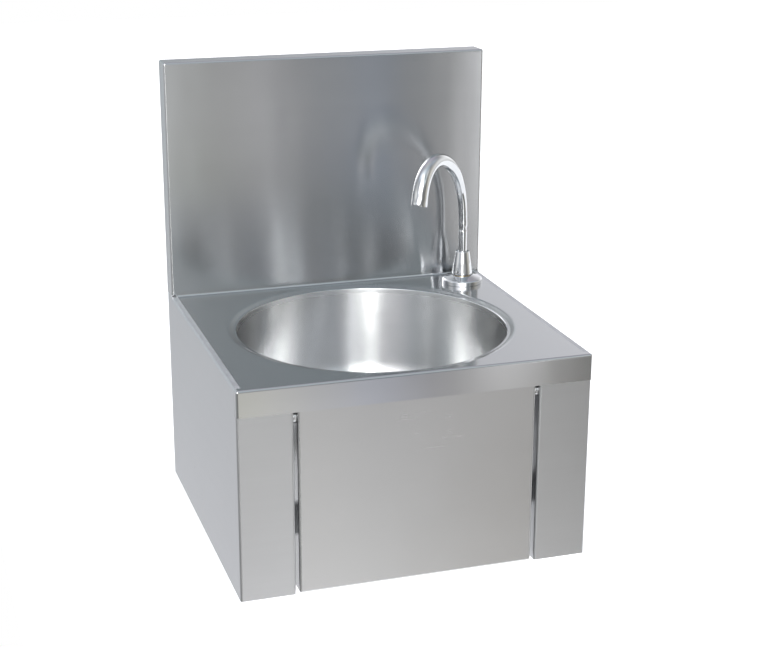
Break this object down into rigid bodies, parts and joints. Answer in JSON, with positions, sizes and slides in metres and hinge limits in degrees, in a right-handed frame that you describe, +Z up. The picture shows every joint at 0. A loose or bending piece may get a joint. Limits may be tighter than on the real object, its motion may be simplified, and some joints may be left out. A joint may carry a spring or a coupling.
{
  "type": "knee operated hand wash sink",
  "caption": "Wall-hung stainless hand wash sink with a round bowl, tall splashback and swan-neck spout; pressing the hinged front panel with the knee opens the water valve.",
  "frame": {"origin": "centre of the four wall fixing holes, on the wall plane", "axes": "+X to the sink's right as its user faces it, +Y into the wall, +Z up"},
  "size_m": [0.4, 0.375, 0.525],
  "materials": {
    "sheet": "fine brushed grain",
    "bowl_sheet": "satin polished",
    "polished_chrome": "mirror polished",
    "ferrule_steel": "bright pressed",
    "fastener": "machined",
    "spring_steel": "drawn wire",
    "brass": "machined, satin",
    "plunger_steel": "turned, bright",
    "black_rubber": "matte",
    "hose_braid": "rubber hose under a woven steel wire braid",
    "white_acetal": "turned, satin",
    "black_plastic": "moulded, satin"
  },
  "bodies": {
    "cabinet": {"deck": "sheet", "splashback": "sheet", "left_side_panel": "sheet", "right_side_panel": "sheet", "bowl": "bowl_sheet", "rear_rail": "sheet", "valve_rail": "sheet", "pivot_bolts": "fastener", "pivot_spacers": "white_acetal", "pivot_nuts": "fastener", "rest_stop_hooks": "sheet", "rest_stop_pads": "black_rubber", "travel_stop_pads": "black_rubber", "valve_body": "brass", "valve_lock_nut": "brass", "valve_spring": "spring_steel", "outlet_hose": "hose_braid", "inlet_hose": "hose_braid", "hose_nuts": "polished_chrome", "hose_ferrules": "ferrule_steel", "mixer_body": "brass", "check_valves": "white_acetal", "mixer_bracket": "sheet", "mixer_bracket_nut": "brass", "spout_rosette": "polished_chrome", "spout_shank": "brass", "spout_gasket": "black_rubber", "spout_washer": "fastener", "spout_lock_nut": "brass", "waste_strainer": "bowl_sheet", "waste_upper_seal": "black_rubber", "waste_screw": "fastener", "waste_lower_seal": "black_rubber", "waste_body": "polished_chrome"},
    "knee_panel": {"knee_panel": "sheet", "knee_push_pad": "black_rubber", "pivot_bushes": "white_acetal"},
    "plunger": {"valve_plunger": "plunger_steel", "valve_plunger_ring": "black_rubber"},
    "spout": {"spout_tube": "polished_chrome", "spout_collar": "polished_chrome", "spout_set_screw": "fastener", "spout_spigot": "brass", "spout_o_rings": "black_rubber", "aerator_cage": "polished_chrome", "aerator_screen": "white_acetal"},
    "mix_control": {"mixer_spindle": "brass", "mixer_knob": "black_plastic"}
  },
  "joints": [
    {"name": "knee_panel_hinge", "type": "hinge", "parent": "cabinet", "child": "knee_panel", "pos_m": [0, -0.3634, 0.0865], "axis": [1, 0, 0], "range_deg": [0, 4]},
    {"name": "plunger_slide", "type": "slide", "parent": "cabinet", "child": "plunger", "axis": [0, 1, 0], "range_m": [0, 0.00922], "stiffness_N_per_m": 300, "springref_m": -0.012, "deforming": ["valve_spring"]},
    {"name": "spout_swivel", "type": "hinge", "parent": "cabinet", "child": "spout", "pos_m": [0.162, -0.0675, 0.145], "axis": [0, 0, 1], "range_deg": [-40, 50]},
    {"name": "mix_turn", "type": "hinge", "parent": "cabinet", "child": "mix_control", "pos_m": [-0.105, -0.135, -0.07], "axis": [0, 0, 1], "range_deg": [-60, 60]}
  ],
  "couplings": [
    {"joint": "plunger_slide", "follows": "knee_panel_hinge", "m_per_rad": 0.1315}
  ]
}
